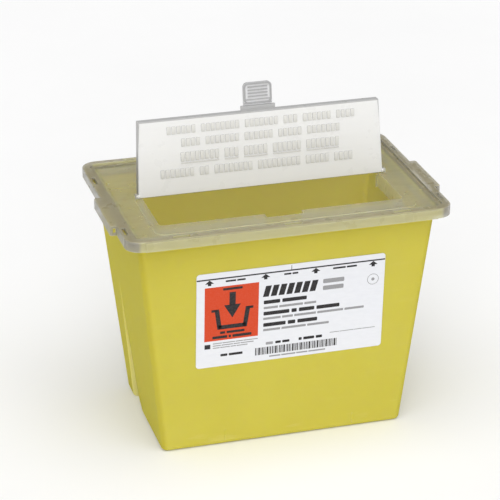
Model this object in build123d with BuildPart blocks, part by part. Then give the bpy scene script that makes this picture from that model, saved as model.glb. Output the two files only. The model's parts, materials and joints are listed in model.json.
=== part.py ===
from build123d import *
import math
import os

# Sharps container: a tapered tub, a press-on lid with a long drop opening, a hinged closing
# flap with a folding lock tab, and a printed front label.
# Frame: +Z up, millimetres, the tub stands on Z = 0. The origin is on the floor under the
# middle of the lid. The label side faces -Y and the ends face -X and +X.

os.makedirs("parts", exist_ok=True)

# ---- driving dimensions -------------------------------------------------------------------
# Lid
LID_WIDTH = 288.0  # over the skirt, end to end
LID_DEPTH = 194.0  # over the skirt, without the proud front and back panels
LID_CORNER = 14.0
RIM_TOP = 217.5
SKIRT_DEPTH = 9.2
SKIRT_WALL = 1.8
RIM_BAND = 7.4  # width of the raised border round the deck
DECK_DROP = 2.0  # the deck lies this far below the border
DECK_TAPER = 12  # degrees, on the step down to the deck
DECK_WALL = 2.0
RIM_WALL = 2.0
RIM_SOFTENING = 1.2
PANEL_LENGTH = 257.2  # flat proud panel on the long skirts
PANEL_PROUD = 1.0
PANEL_DROP = 0.9  # the panels end this far below the border's top
GRIP_PROUD = 5.7  # hollow lifting grips on the two ends
GRIP_CORNER = 2.5
GRIP_WINDOW = (2.6, 4.0, 4.4)
GRIP_WINDOW_OUT = 2.0  # its middle, outwards from the skirt
GRIP_WINDOW_IN = 1.0  # and inwards from the grip's front end

# Tub
FLOOR_HALF_WIDTH = 110.7
FLOOR_FRONT = -65.1
FLOOR_BACK = 71.0
END_SLOPE = 0.1051  # how far each wall leans out per millimetre of height
LONG_SLOPE = 0.0805
TUB_CORNER = 6.0
TUB_WALL = 1.8
TUB_FLOOR = 2.2
FOOT_RADIUS = 4.5
BASE_RECESS = 1.2
RECESS_END_MARGIN = 20.0
RECESS_SIDE_MARGIN = 13.0
RECESS_CORNER = 8.0
RECESS_TAPER = 20
FLANGE_LOW = 210.0
FLANGE_HIGH = 212.0
FLANGE_GAP = 1.0  # to the inside of the skirt

# Drop opening, its raised frame and the slot for the lock tab
OPENING_HALF_WIDTH = 108.6
OPENING_FRONT = -63.5
OPENING_BACK = 3.4  # under the flap's hinge edge, which hides it
LIP_HEIGHT = 0.6  # the deck thins to this at the back of the opening
LIP_LENGTH = 6.0
LIP_OVERRUN = 1.0  # the wedge under the lip starts inside the opening
OPENING_CORNER = 2.0
FRAME_HALF_WIDTH = 116.0
FRAME_FRONT = -83.5
FRAME_BACK = -1.0
FRAME_HEIGHT = 0.8
FRAME_TAPER = 25
FRAME_CORNER = 9.0
SLOT_HALF_WIDTH = 16.5
SLOT_FRONT = -71.0
SLOT_CORNER = 1.5
SLOT_OVERRUN = 10.0  # the slot's cut runs on into the opening
COLLAR_DEPTH = 12.0
COLLAR_WALL = 1.6

# Flap and its hinge
HINGE_Y = 1.5
HINGE_Z = 217.8
LEAN_BACK = 6.2  # degrees behind upright when the flap rests on its stop
FACE_OUT = 1.2  # printed face in front of the hinge axis
FLAP_WALL = 1.8
FLAP_DEPTH = 8.0  # over the turned edges
FLAP_LOW = -1.5  # hinge edge, measured up the flap from the axis
FLAP_HIGH = 66.0  # free edge
FLAP_HALF_LOW = 111.9
FLAP_HALF_HIGH = 109.1
EDGE_WALL = 1.6  # of the turned edges
FACE_SOFTENING = 0.5
TRIM_REACH = 4.4  # the hinge edge is turned less over this height
TRIM_DEPTH = 1.6
PIN_RADIUS = 2.0
PIN_CLEARANCE = 0.08
PIN_ROOT = 1.0  # how deep a pin starts inside the flap
EAR_INNER = 112.4
EAR_WALL = 2.4
EAR_LENGTH = 6.4
EAR_HEIGHT = 2.4  # above the hinge axis
EAR_ROUNDING = 1.4
EAR_SNAP = 0.6  # the ear's mouth is this much narrower than the pin
CUT_OVERRUN = 1.0  # cuts pass this far beyond what they cut

# Lock tab on the flap's free edge
TAB_WIDTH = 25.9
TAB_LENGTH = 20.2
TAB_WALL = 2.0
TAB_CORNER = 4.0
TAB_HINGE = 70.3  # its fold line, measured up the flap from the axis
FOOT_WIDTH = 30.9
FOOT_ROOT = 1.0  # how deep the tab's foot starts inside the flap
TAB_GAP = 0.3  # the thin web of the fold is left out between the two pieces
TAB_EDGE = 0.3  # from the tab's outline to its raised border
BORDER_LOW = 1.2  # where the border starts, from the fold line
BORDER_WALL = 1.6
BORDER_CORNER = 2.2  # inside
RIB_COUNT = 4
RIB_PITCH = 2.8
RIB_START = 7.8  # first grip rib, from the fold line
RIDGE_UPS = (1.6, 5.0)  # two full-width ridges beside the fold
RIB_HEIGHT = 0.8
RIB_WIDTH = 1.2
RIB_MARGIN = 4.0  # from a rib's end to the tab's side
RIDGE_WIDTH = 0.9

# Front label
LABEL_WIDTH = 169.4
LABEL_HEIGHT = 92.8
LABEL_CENTRE_X = 3.4
LABEL_CENTRE_Z = 127.6
LABEL_THICKNESS = 0.25
LABEL_CORNER = 3.0

# ---- worked out ---------------------------------------------------------------------------
SKIRT_BOTTOM = RIM_TOP - SKIRT_DEPTH
DECK_TOP = RIM_TOP - DECK_DROP
DECK_BOTTOM = DECK_TOP - DECK_WALL
RIM_BOTTOM = RIM_TOP - RIM_WALL
TUB_TOP = DECK_BOTTOM
FRAME_TOP = DECK_TOP + FRAME_HEIGHT
INNER_WIDTH = LID_WIDTH - 2 * SKIRT_WALL
INNER_DEPTH = LID_DEPTH - 2 * SKIRT_WALL
DECK_WIDTH = LID_WIDTH - 2 * RIM_BAND
DECK_DEPTH = LID_DEPTH - 2 * RIM_BAND
DECK_CORNER = LID_CORNER - RIM_BAND
STEP_WALL = 1.8

# Axes of the flap in its rest pose: up the flap, and out of its printed face
LEAN = math.radians(LEAN_BACK)
UP_FLAP = (0, math.sin(LEAN), math.cos(LEAN))
OUT_OF_FACE = (0, -math.cos(LEAN), math.sin(LEAN))


def half_width(z, inset=0.0):
    """Half of the tub's outer width at height z, less an inset."""
    return FLOOR_HALF_WIDTH + END_SLOPE * z - inset


def front_y(z, inset=0.0):
    """Y of the tub's front wall at height z."""
    return FLOOR_FRONT - LONG_SLOPE * z + inset


def back_y(z, inset=0.0):
    """Y of the tub's back wall at height z."""
    return FLOOR_BACK + LONG_SLOPE * z - inset


def tub_plane(z):
    """Level plane whose origin is the middle of the tub's section at height z."""
    return Plane(origin=(0, (front_y(z) + back_y(z)) / 2, z))


def flap_point(out, up):
    """Point in the flap's middle plane: out of its face and up from the hinge axis."""
    y = HINGE_Y + out * OUT_OF_FACE[1] + up * UP_FLAP[1]
    z = HINGE_Z + out * OUT_OF_FACE[2] + up * UP_FLAP[2]
    return (0, y, z)


def flap_plane(out):
    """Plane parallel to the flap: X along the hinge, Y up the flap, normal out of its face."""
    return Plane(origin=flap_point(out, 0), x_dir=(1, 0, 0), z_dir=OUT_OF_FACE)


# ---- tub ----------------------------------------------------------------------------------
# A nesting dart is pressed into each end wall: nothing at its tip, deepest at the floor, with
# a gentle front slope and a steep back step.
DART_HEIGHT = 126.5
DART_DEPTH = 4.6
DART_FRONT = 9.0
DART_BACK = 46.4
DART_TIP = 34.7
DART_STEP = 1.5
DART_OUTSIDE = 4.0


def dart_points(z, grow):
    """Section of the +X dart at height z, grown inwards by a wall thickness."""
    rise = min(z / DART_HEIGHT, 0.995)
    wall = half_width(z)
    depth = DART_DEPTH * (1 - rise) + grow
    front = DART_FRONT + (DART_TIP - DART_FRONT) * rise - grow
    back = DART_BACK + (DART_TIP - DART_BACK) * rise + grow
    outside = wall + DART_OUTSIDE
    return [
        (outside, front),
        (wall - grow, front),
        (wall - depth, back),
        (outside, back + DART_STEP),
    ]


CAVITY_TOP = TUB_TOP + 2.0

with BuildPart() as cavity:
    for level in (TUB_FLOOR, CAVITY_TOP):
        with BuildSketch(tub_plane(level)):
            RectangleRounded(
                2 * half_width(level, TUB_WALL),
                back_y(level, TUB_WALL) - front_y(level, TUB_WALL),
                TUB_CORNER - TUB_WALL,
            )
    loft()
    fillet(cavity.faces().sort_by(Axis.Z)[0].edges(), radius=FOOT_RADIUS - TUB_WALL)

with BuildPart() as dart:
    for level in (-1.0, DART_HEIGHT):
        with BuildSketch(Plane.XY.offset(level)):
            with BuildLine():
                Polyline(*dart_points(level, 0.0), close=True)
            make_face()
    loft()

with BuildPart() as dart_inside:
    for level in (-1.0, DART_HEIGHT):
        with BuildSketch(Plane.XY.offset(level)):
            with BuildLine():
                Polyline(*dart_points(level, TUB_WALL), close=True)
            make_face()
    loft()

with BuildPart() as tub_space:
    add(cavity.part)
    add(dart_inside.part, mode=Mode.SUBTRACT)
    add(mirror(dart_inside.part, about=Plane.YZ, mode=Mode.PRIVATE), mode=Mode.SUBTRACT)

STOP_RIB_X = (-53.4, 64.7)
STOP_RIB_WIDTH = 1.2
STOP_RIB_HEIGHT = 10.0
STOP_RIB_PROUD = 0.5
STOP_RIB_LOW = 5.0

with BuildPart() as tub:
    for level in (0.0, TUB_TOP):
        with BuildSketch(tub_plane(level)):
            RectangleRounded(2 * half_width(level), back_y(level) - front_y(level), TUB_CORNER)
    loft()
    fillet(tub.faces().sort_by(Axis.Z)[0].edges(), radius=FOOT_RADIUS)
    # darts
    add(dart.part, mode=Mode.SUBTRACT)
    add(mirror(dart.part, about=Plane.YZ, mode=Mode.PRIVATE), mode=Mode.SUBTRACT)
    # locking flange that the lid's hooks catch
    with BuildSketch(Plane.XY.offset(FLANGE_LOW)):
        RectangleRounded(
            INNER_WIDTH - 2 * FLANGE_GAP,
            INNER_DEPTH - 2 * FLANGE_GAP,
            LID_CORNER - SKIRT_WALL - FLANGE_GAP,
        )
    extrude(amount=FLANGE_HIGH - FLANGE_LOW)
    # two short stop ribs at the foot of the front wall and of the back wall
    for rib_x in STOP_RIB_X:
        rib_mid = STOP_RIB_LOW + STOP_RIB_HEIGHT / 2
        for wall_y in (front_y(rib_mid), back_y(rib_mid)):
            with Locations((rib_x, wall_y, rib_mid)):
                Box(STOP_RIB_WIDTH, 2 * STOP_RIB_PROUD + 0.8, STOP_RIB_HEIGHT)
    # inside
    add(tub_space.part, mode=Mode.SUBTRACT)
    # shallow recess that leaves a foot ring under the floor
    with BuildSketch(tub_plane(0.0)):
        RectangleRounded(
            2 * (FLOOR_HALF_WIDTH - RECESS_END_MARGIN),
            FLOOR_BACK - FLOOR_FRONT - 2 * RECESS_SIDE_MARGIN,
            RECESS_CORNER,
        )
    extrude(amount=BASE_RECESS, taper=RECESS_TAPER, mode=Mode.SUBTRACT)
tub.part.label = "tub"
export_step(tub.part, "parts/tub.step")

# ---- lid ----------------------------------------------------------------------------------
# Hooks inside the skirt, each under a moulding window in the border
WINDOW_LENGTH = 15.0
WINDOW_WIDTH = 3.4
WINDOW_SETBACK = 0.2  # inwards from the skirt
WINDOW_CORNER = 1.0
HOOK_REACH = 2.8
HOOK_THICKNESS = 1.2
HOOK_TOP = FLANGE_LOW - 0.3
END_WINDOW_Y = (-69.5, 50.0)
LONG_WINDOW_X = (-97.0, 0.0, 97.0)
END_HOOK_X = INNER_WIDTH / 2
LONG_HOOK_Y = INNER_DEPTH / 2

# Lifting grips: where each one starts and ends along Y
GRIPS = {-1: (-55.2, 10.4), 1: (-46.5, 17.0)}

# Plug rib that seals inside the tub's mouth
PLUG_BOTTOM = 207.0
PLUG_GAP = 0.35
PLUG_WALL = 1.4


def grip_box(side, inset):
    """One hollow lifting grip on an end of the skirt, or its inside when inset."""
    low, high = GRIPS[side]
    reach = LID_WIDTH / 2 + GRIP_PROUD - inset
    root = LID_WIDTH / 2 - LID_CORNER
    with Locations((side * (reach + root) / 2, (low + high) / 2)):
        RectangleRounded(reach - root, high - low - 2 * inset, GRIP_CORNER - inset / 2)


def hook_block(centre_x, centre_y, size_x, size_y):
    """One snap hook on the inside of the skirt."""
    with Locations((centre_x, centre_y, HOOK_TOP - HOOK_THICKNESS / 2)):
        Box(size_x, size_y, HOOK_THICKNESS)


with BuildPart() as lid_frame:
    # skirt, grips and proud panels, as one block with a soft top edge
    with BuildSketch(Plane.XY.offset(SKIRT_BOTTOM)):
        RectangleRounded(LID_WIDTH, LID_DEPTH, LID_CORNER)
        for end in GRIPS:
            grip_box(end, 0.0)
    extrude(amount=SKIRT_DEPTH)
    fillet(lid_frame.faces().sort_by(Axis.Z)[-1].outer_wire().edges(), radius=RIM_SOFTENING)
    with BuildSketch(Plane.XY.offset(SKIRT_BOTTOM)):
        Rectangle(PANEL_LENGTH, LID_DEPTH + 2 * PANEL_PROUD)
    extrude(amount=SKIRT_DEPTH - PANEL_DROP)
    # hollow it from below
    with BuildSketch(Plane.XY.offset(SKIRT_BOTTOM)):
        RectangleRounded(INNER_WIDTH, INNER_DEPTH, LID_CORNER - SKIRT_WALL)
        for end in GRIPS:
            grip_box(end, SKIRT_WALL)
    extrude(amount=RIM_BOTTOM - SKIRT_BOTTOM, mode=Mode.SUBTRACT)
    # lower deck inside the raised border
    with BuildSketch(Plane.XY.offset(DECK_BOTTOM)):
        RectangleRounded(DECK_WIDTH + 2 * STEP_WALL, DECK_DEPTH + 2 * STEP_WALL, DECK_CORNER + STEP_WALL)
    extrude(amount=RIM_BOTTOM - DECK_BOTTOM)
    with BuildSketch(Plane.XY.offset(DECK_TOP)):
        RectangleRounded(DECK_WIDTH, DECK_DEPTH, DECK_CORNER)
    extrude(amount=DECK_DROP, taper=-DECK_TAPER, mode=Mode.SUBTRACT)
    # raised frame round the opening
    frame_depth = FRAME_BACK - FRAME_FRONT
    with BuildSketch(Plane((0, FRAME_FRONT + frame_depth / 2, DECK_TOP))):
        RectangleRounded(2 * FRAME_HALF_WIDTH, frame_depth, FRAME_CORNER)
        with Locations((0, frame_depth / 4)):
            Rectangle(2 * FRAME_HALF_WIDTH, frame_depth / 2)
    extrude(amount=FRAME_HEIGHT, taper=FRAME_TAPER)
    # collar that hangs round the front and the ends of the opening
    collar_depth = OPENING_BACK - OPENING_FRONT + COLLAR_WALL
    with BuildSketch(Plane((0, OPENING_BACK - collar_depth / 2, DECK_BOTTOM - COLLAR_DEPTH))):
        Rectangle(2 * (OPENING_HALF_WIDTH + COLLAR_WALL), collar_depth)
    extrude(amount=COLLAR_DEPTH)
    # plug rib inside the tub's mouth
    plug_width = 2 * (half_width(PLUG_BOTTOM, TUB_WALL) - PLUG_GAP)
    plug_depth = back_y(PLUG_BOTTOM, TUB_WALL) - front_y(PLUG_BOTTOM, TUB_WALL) - 2 * PLUG_GAP
    with BuildSketch(tub_plane(PLUG_BOTTOM)):
        RectangleRounded(plug_width, plug_depth, TUB_CORNER - TUB_WALL)
        RectangleRounded(
            plug_width - 2 * PLUG_WALL,
            plug_depth - 2 * PLUG_WALL,
            TUB_CORNER - TUB_WALL - PLUG_WALL,
            mode=Mode.SUBTRACT,
        )
    extrude(amount=DECK_BOTTOM - PLUG_BOTTOM)
    # the opening itself, with softened front corners, and the slot for the lock tab
    opening_depth = OPENING_BACK - OPENING_FRONT
    cut_bottom = DECK_BOTTOM - COLLAR_DEPTH
    with BuildSketch(Plane((0, OPENING_BACK - opening_depth / 2, cut_bottom))):
        RectangleRounded(2 * OPENING_HALF_WIDTH, opening_depth, OPENING_CORNER)
    extrude(amount=FRAME_TOP - cut_bottom, mode=Mode.SUBTRACT)
    slot_depth = OPENING_FRONT + SLOT_OVERRUN - SLOT_FRONT
    with BuildSketch(Plane((0, SLOT_FRONT + slot_depth / 2, cut_bottom))):
        RectangleRounded(2 * SLOT_HALF_WIDTH, slot_depth, SLOT_CORNER)
    extrude(amount=FRAME_TOP - cut_bottom, mode=Mode.SUBTRACT)
    # the deck thins to a lip at the back of the opening
    with BuildSketch(Plane(origin=(-OPENING_HALF_WIDTH, 0, 0), x_dir=(0, 1, 0), z_dir=(1, 0, 0))):
        with BuildLine():
            Polyline(
                (OPENING_BACK - LIP_OVERRUN, DECK_BOTTOM - 0.1),
                (OPENING_BACK - LIP_OVERRUN, DECK_TOP - LIP_HEIGHT),
                (OPENING_BACK, DECK_TOP - LIP_HEIGHT),
                (OPENING_BACK + LIP_LENGTH, DECK_BOTTOM),
                (OPENING_BACK + LIP_LENGTH, DECK_BOTTOM - 0.1),
                close=True,
            )
        make_face()
    extrude(amount=2 * OPENING_HALF_WIDTH, mode=Mode.SUBTRACT)
    # snap hooks and the windows above them
    for end in (-1, 1):
        for hook_y in END_WINDOW_Y:
            hook_block(end * (END_HOOK_X - HOOK_REACH / 2), hook_y, HOOK_REACH, WINDOW_LENGTH)
        for hook_x in LONG_WINDOW_X:
            hook_block(hook_x, end * (LONG_HOOK_Y - HOOK_REACH / 2), WINDOW_LENGTH, HOOK_REACH)
    with BuildSketch(Plane.XY.offset(RIM_TOP)):
        for end in (-1, 1):
            for hook_y in END_WINDOW_Y:
                with Locations((end * (END_HOOK_X - WINDOW_WIDTH / 2 - WINDOW_SETBACK), hook_y)):
                    RectangleRounded(WINDOW_WIDTH, WINDOW_LENGTH, WINDOW_CORNER)
            for hook_x in LONG_WINDOW_X:
                with Locations((hook_x, end * (LONG_HOOK_Y - WINDOW_WIDTH / 2 - WINDOW_SETBACK))):
                    RectangleRounded(WINDOW_LENGTH, WINDOW_WIDTH, WINDOW_CORNER)
    extrude(amount=RIM_BOTTOM - RIM_TOP, mode=Mode.SUBTRACT)
    # small window in the front end of each grip
    for end, (grip_front, grip_back) in GRIPS.items():
        window_x = end * (LID_WIDTH / 2 + GRIP_WINDOW_OUT)
        with Locations((window_x, grip_front + GRIP_WINDOW_IN, SKIRT_BOTTOM + GRIP_WINDOW[2])):
            Box(*GRIP_WINDOW, mode=Mode.SUBTRACT)
    # open-topped ears that the flap's pins snap down into
    ear_top = HINGE_Z + EAR_HEIGHT
    for end in (-1, 1):
        ear_x = end * (EAR_INNER + EAR_WALL / 2)
        with Locations((ear_x, HINGE_Y, (DECK_TOP + ear_top) / 2)):
            Box(EAR_WALL, EAR_LENGTH, ear_top - DECK_TOP)
    fillet(
        lid_frame.edges().filter_by(Axis.X).filter_by(
            lambda edge: abs(edge.center().Z - ear_top) < 0.01
        ),
        radius=EAR_ROUNDING,
    )
    for end in (-1, 1):
        ear_x = end * (EAR_INNER + EAR_WALL / 2)
        with Locations(Location((ear_x, HINGE_Y, HINGE_Z), (0, 90, 0))):
            Cylinder(PIN_RADIUS + PIN_CLEARANCE, EAR_WALL + 2 * CUT_OVERRUN, mode=Mode.SUBTRACT)
        with Locations((ear_x, HINGE_Y, ear_top)):
            Box(
                EAR_WALL + 2 * CUT_OVERRUN,
                2 * PIN_RADIUS - EAR_SNAP,
                2 * (ear_top - HINGE_Z),
                mode=Mode.SUBTRACT,
            )
lid_frame.part.label = "lid_frame"
export_step(lid_frame.part, "parts/lid_frame.step")

# ---- flap ---------------------------------------------------------------------------------
FACE_PLANE = flap_plane(FACE_OUT)
BACK_OUT = FACE_OUT - FLAP_DEPTH
PIN_TIP = EAR_INNER + EAR_WALL - 0.6

with BuildPart() as flap:
    # shallow tray: the face towards the user, the turned edges away
    with BuildSketch(FACE_PLANE):
        with BuildLine():
            Polyline(
                (-FLAP_HALF_LOW, FLAP_LOW),
                (FLAP_HALF_LOW, FLAP_LOW),
                (FLAP_HALF_HIGH, FLAP_HIGH),
                (-FLAP_HALF_HIGH, FLAP_HIGH),
                close=True,
            )
        make_face()
    extrude(amount=-FLAP_DEPTH)
    face_origin = Vector(*flap_point(FACE_OUT, 0))
    face_edges = flap.edges().filter_by(
        lambda edge: abs((edge.center() - face_origin).dot(Vector(*OUT_OF_FACE))) < 0.01
    )
    fillet(face_edges, radius=FACE_SOFTENING)
    with BuildSketch(flap_plane(BACK_OUT)):
        with BuildLine():
            Polyline(
                (-FLAP_HALF_LOW + EDGE_WALL, FLAP_LOW + EDGE_WALL),
                (FLAP_HALF_LOW - EDGE_WALL, FLAP_LOW + EDGE_WALL),
                (FLAP_HALF_HIGH - EDGE_WALL, FLAP_HIGH - EDGE_WALL),
                (-FLAP_HALF_HIGH + EDGE_WALL, FLAP_HIGH - EDGE_WALL),
                close=True,
            )
        make_face()
    extrude(amount=FLAP_DEPTH - FLAP_WALL, mode=Mode.SUBTRACT)
    # the hinge edge is turned less, so that it clears the deck behind the axis
    with BuildSketch(flap_plane(BACK_OUT - CUT_OVERRUN)):
        with Locations((0, FLAP_LOW)):
            Rectangle(2 * (FLAP_HALF_LOW + CUT_OVERRUN), TRIM_REACH)
    extrude(amount=CUT_OVERRUN + TRIM_DEPTH, mode=Mode.SUBTRACT)
    # hinge pins
    for end in (-1, 1):
        pin_root = FLAP_HALF_LOW - PIN_ROOT
        pin_length = PIN_TIP - pin_root
        with Locations(Location((end * (pin_root + pin_length / 2), HINGE_Y, HINGE_Z), (0, 90, 0))):
            Cylinder(PIN_RADIUS, pin_length)
    # foot that carries the lock tab, at the back of the free edge
    with BuildSketch(flap_plane(BACK_OUT)):
        foot_low = FLAP_HIGH - FOOT_ROOT
        foot_high = TAB_HINGE - TAB_GAP
        with Locations((0, (foot_low + foot_high) / 2)):
            Rectangle(FOOT_WIDTH, foot_high - foot_low)
    extrude(amount=TAB_WALL + RIB_HEIGHT)
flap.part.label = "flap"
export_step(flap.part, "parts/flap.step")

# ---- lock tab -----------------------------------------------------------------------------
TAB_FACE_OUT = BACK_OUT + TAB_WALL
BARB_START = 9.8
BARB_LENGTH = 3.4
BARB_PROUD = 1.3
BARB_ROOT = 0.5  # how deep the barb starts inside the tab
BARB_WIDTH = 18.0

with BuildPart() as lock_tab:
    with BuildSketch(flap_plane(BACK_OUT)):
        with Locations((0, TAB_HINGE + TAB_LENGTH / 2)):
            RectangleRounded(TAB_WIDTH, TAB_LENGTH, TAB_CORNER)
        with Locations((0, TAB_HINGE + TAB_LENGTH / 4)):
            Rectangle(TAB_WIDTH, TAB_LENGTH / 2)
    extrude(amount=TAB_WALL)
    # raised border and grip ribs on the face that is pressed
    border_high = TAB_LENGTH - TAB_EDGE
    border_length = border_high - BORDER_LOW
    with BuildSketch(flap_plane(TAB_FACE_OUT)):
        with Locations((0, TAB_HINGE + (BORDER_LOW + border_high) / 2)):
            RectangleRounded(TAB_WIDTH - 2 * TAB_EDGE, border_length, TAB_CORNER - TAB_EDGE)
            RectangleRounded(
                TAB_WIDTH - 2 * (TAB_EDGE + BORDER_WALL),
                border_length - 2 * BORDER_WALL,
                BORDER_CORNER,
                mode=Mode.SUBTRACT,
            )
        for rib in range(RIB_COUNT):
            with Locations((0, TAB_HINGE + RIB_START + rib * RIB_PITCH)):
                Rectangle(TAB_WIDTH - 2 * RIB_MARGIN, RIB_WIDTH)
        for ridge_up in RIDGE_UPS:
            with Locations((0, TAB_HINGE + ridge_up)):
                Rectangle(TAB_WIDTH - 2 * TAB_EDGE, RIDGE_WIDTH)
    extrude(amount=RIB_HEIGHT)
    # barb on the far face that catches under the deck
    with BuildSketch(Plane(origin=(-BARB_WIDTH / 2, 0, 0), x_dir=(0, 1, 0), z_dir=(1, 0, 0))):
        with BuildLine():
            Polyline(
                flap_point(BACK_OUT + BARB_ROOT, TAB_HINGE + BARB_START)[1:],
                flap_point(BACK_OUT - BARB_PROUD, TAB_HINGE + BARB_START)[1:],
                flap_point(BACK_OUT, TAB_HINGE + BARB_START + BARB_LENGTH)[1:],
                flap_point(BACK_OUT + BARB_ROOT, TAB_HINGE + BARB_START + BARB_LENGTH)[1:],
                close=True,
            )
        make_face()
    extrude(amount=BARB_WIDTH)
lock_tab.part.label = "lock_tab"
export_step(lock_tab.part, "parts/lock_tab.step")

# ---- label --------------------------------------------------------------------------------
WALL_LEAN = math.atan(LONG_SLOPE)
LABEL_PLANE = Plane(
    origin=(LABEL_CENTRE_X, front_y(LABEL_CENTRE_Z), LABEL_CENTRE_Z),
    x_dir=(1, 0, 0),
    z_dir=(0, -math.cos(WALL_LEAN), -math.sin(WALL_LEAN)),
)

with BuildPart() as front_label:
    with BuildSketch(LABEL_PLANE):
        RectangleRounded(LABEL_WIDTH, LABEL_HEIGHT, LABEL_CORNER)
    extrude(amount=LABEL_THICKNESS)
front_label.part.label = "front_label"
export_step(front_label.part, "parts/front_label.step")
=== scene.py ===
import json
import math

import bmesh
import bpy
from bpy.props import FloatProperty, FloatVectorProperty, IntProperty, PointerProperty
from mathutils import Matrix, Vector


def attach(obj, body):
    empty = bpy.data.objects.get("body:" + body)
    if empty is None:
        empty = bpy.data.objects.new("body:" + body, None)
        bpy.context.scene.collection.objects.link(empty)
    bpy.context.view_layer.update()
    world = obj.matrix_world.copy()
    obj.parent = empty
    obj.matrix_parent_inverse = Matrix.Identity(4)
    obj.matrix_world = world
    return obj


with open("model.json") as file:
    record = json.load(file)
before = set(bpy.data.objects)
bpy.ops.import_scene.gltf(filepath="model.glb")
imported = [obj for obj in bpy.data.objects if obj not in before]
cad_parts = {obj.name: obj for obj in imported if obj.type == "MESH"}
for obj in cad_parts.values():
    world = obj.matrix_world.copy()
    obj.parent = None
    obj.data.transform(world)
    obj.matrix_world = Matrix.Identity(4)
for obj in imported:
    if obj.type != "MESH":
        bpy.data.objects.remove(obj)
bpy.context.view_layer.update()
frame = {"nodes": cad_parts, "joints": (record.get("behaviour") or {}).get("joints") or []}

bl_info = {
    "name": "Sharps Container Looks",
    "version": (1, 0, 0),
    "blender": (4, 5, 0),
    "location": "View3D > Sidebar > Sharps",
    "description": "Finishes, print and raised marks for a tapered tub with a press-on lid",
    "category": "Object",
}

# Sizes below are in millimetres and are turned into metres by this
MM = 0.001

# How deep a raised or printed piece is rooted in the surface that it stands on
ROOT_DEPTH = 0.05

# Two directions count as the same when their dot product is over this
SAME_WAY = 0.99

# Steps in a block's rounded corners and in its softened top
CORNER_STEPS = 5
SOFTENING_STEPS = 2

# In a row of bars: the gap between two words and the rounding of a bar, as shares of its height
WORD_GAP = 0.55
BAR_ROUNDING = 0.22

# How wide the flap's greyer edges are, and how far they fade
EDGE_BAND = 1.1 * MM
EDGE_FADE = 0.5 * MM

# Half the width and depth of the tub's mouth: the lid's border lies outside it, and fades in
# over this. A box whose side lies past the object has only its other two sides on it.
MOUTH = (133.5 * MM, 86.5 * MM)
BORDER_FADE = 1.5 * MM
PAST_THE_OBJECT = 1.0

# The plastic's refraction, and the part of a flow pattern's range that shows as haze
PLASTIC_IOR = 1.49
HAZE_LOW = 0.38
HAZE_HIGH = 0.62


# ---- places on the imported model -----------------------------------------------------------

def joint(name):
    """The row of the joint with this name."""
    return next(row for row in frame["joints"] if row["name"] == name)


def plane_matrix(origin, along, normal):
    """Places millimetres on a plane: X along it, Z out of it, and Y up it."""
    up = normal.cross(along)
    turn = Matrix((along, up, normal)).transposed().to_4x4()
    return Matrix.Translation(origin) @ turn @ Matrix.Scale(MM, 4)


def flap_face():
    """The flap's printed face: origin on the hinge's line, X along the hinge, Y up the flap."""
    hinge = joint("flap_hinge")
    lean = math.radians(hinge["range_deg"][1] - 90.0)
    up = Vector((0.0, math.sin(lean), math.cos(lean)))
    out = Vector((0.0, -math.cos(lean), math.sin(lean)))
    axis = Vector(hinge["pos_m"])
    clear_of_pins = 10.0 * MM
    offsets = [v.co - axis for v in frame["nodes"]["flap"].data.vertices]
    face_out = max(offset.dot(out) for offset in offsets if offset.dot(up) > clear_of_pins)
    return plane_matrix(axis + out * face_out, Vector((1.0, 0.0, 0.0)), out)


def label_face():
    """The label's printed face: origin in its middle, X to the right, Y up the wall."""
    mesh = frame["nodes"]["front_label"].data
    facing = [face for face in mesh.polygons if face.normal.y < -0.9]
    normal = max(facing, key=lambda face: face.area).normal.normalized()
    front = max(v.co.dot(normal) for v in mesh.vertices)
    on_face = [v.co for v in mesh.vertices if front - v.co.dot(normal) < 0.01 * MM]
    middle = Vector([(min(c[i] for c in on_face) + max(c[i] for c in on_face)) / 2 for i in range(3)])
    return plane_matrix(middle, Vector((1.0, 0.0, 0.0)), normal)


# ---- mesh helpers -------------------------------------------------------------------------

def each_once(parts):
    """Parts of a mesh in the order they come, each of them once: a set has no fixed order."""
    return list(dict.fromkeys(parts))


def bevel_edges(bm, edges, offset, steps):
    """Rounds edges by so many millimetres, and gives the new faces."""
    rounded = bmesh.ops.bevel(
        bm, geom=edges, offset=offset * MM, segments=steps, affect="EDGES", profile=0.5, material=-1
    )
    return rounded["faces"]


def add_block(bm, place, centre, size, height, corner=0.0, soften=0.0, lean=0.0):
    """A low block on a plane, with rounded corners, a softened top or a lean."""
    made = bmesh.ops.create_cube(bm, size=1.0)
    stretch = Matrix.Diagonal((size[0], size[1], height + ROOT_DEPTH, 1.0))
    shear = Matrix.Identity(4)
    shear[0][1] = lean
    move = Matrix.Translation((centre[0], centre[1], (height - ROOT_DEPTH) / 2))
    bmesh.ops.transform(bm, matrix=place @ move @ shear @ stretch, verts=made["verts"])
    normal = place.col[2].to_3d().normalized()
    faces = each_once(face for vert in made["verts"] for face in vert.link_faces)
    if corner > 0.0:
        edges = each_once(edge for vert in made["verts"] for edge in vert.link_edges)
        runs = [(edge, (edge.verts[0].co - edge.verts[1].co).normalized()) for edge in edges]
        upright = [edge for edge, run in runs if abs(run.dot(normal)) > SAME_WAY]
        rounded = bevel_edges(bm, upright, corner, CORNER_STEPS)
        faces = each_once(f for face in rounded for v in face.verts for f in v.link_faces)
    if soften > 0.0:
        tops = [face for face in faces if face.is_valid and face.normal.dot(normal) > SAME_WAY]
        rims = each_once(edge for face in tops for edge in face.edges)
        bevel_edges(bm, rims, soften, SOFTENING_STEPS)


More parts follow.
